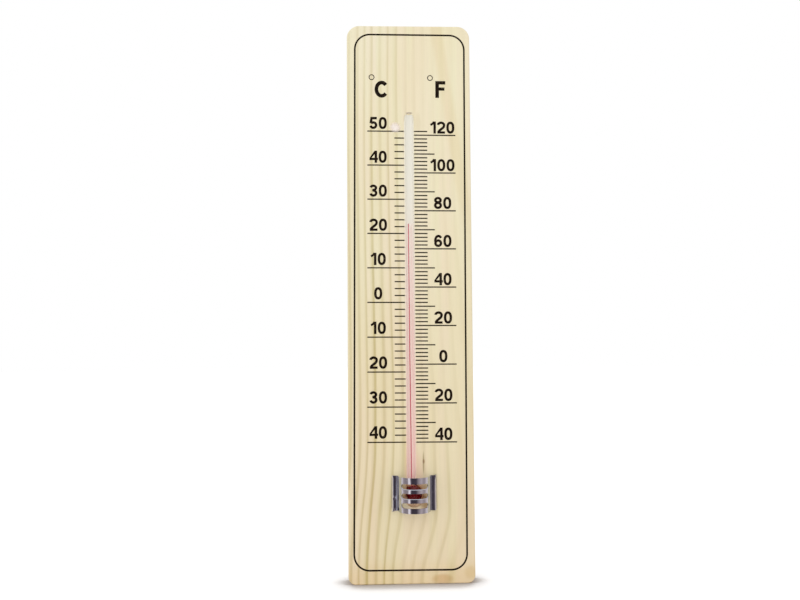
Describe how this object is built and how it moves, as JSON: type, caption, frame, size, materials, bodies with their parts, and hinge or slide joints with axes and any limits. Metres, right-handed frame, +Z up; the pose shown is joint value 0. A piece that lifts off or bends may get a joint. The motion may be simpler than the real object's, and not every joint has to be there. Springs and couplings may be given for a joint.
{
  "type": "wooden thermometer",
  "caption": "Pine wall thermometer: a spirit-filled glass tube let into a rounded board, between printed Celsius and Fahrenheit scales, with a slotted sheet guard over the bulb.",
  "frame": {"origin": "centre of the hanging hole's mouth, on the back face of the board", "axes": "+Z up along the board, +Y into the wall behind it, +X to the right of someone reading the scale"},
  "size_m": [0.0494, 0.0155, 0.221],
  "materials": {
    "pine": "sanded pine with a thin clear coat",
    "clear_glass": "clear drawn glass",
    "white_enamel": "opaque white band fused into the glass",
    "red_spirit": "dyed spirit, a liquid",
    "adhesive": "cured clear adhesive",
    "plated_sheet": "bright plated pressed sheet",
    "printing_ink": "dark brown-black printed ink"
  },
  "bodies": {
    "board": {"backboard": "pine", "glass_tube": "clear_glass", "enamel_band": "white_enamel", "bulb_spirit": "red_spirit", "tube_adhesive": "adhesive", "bulb_guard": "plated_sheet", "border_line": "printing_ink", "celsius_marks": "printing_ink", "fahrenheit_marks": "printing_ink"},
    "spirit": {"spirit_column": "red_spirit"}
  },
  "joints": [
    {"name": "spirit_level", "type": "slide", "parent": "board", "child": "spirit", "axis": [0, 0, 1], "range_m": [-0.08604, 0.03726], "deforming": ["spirit_column"]}
  ]
}
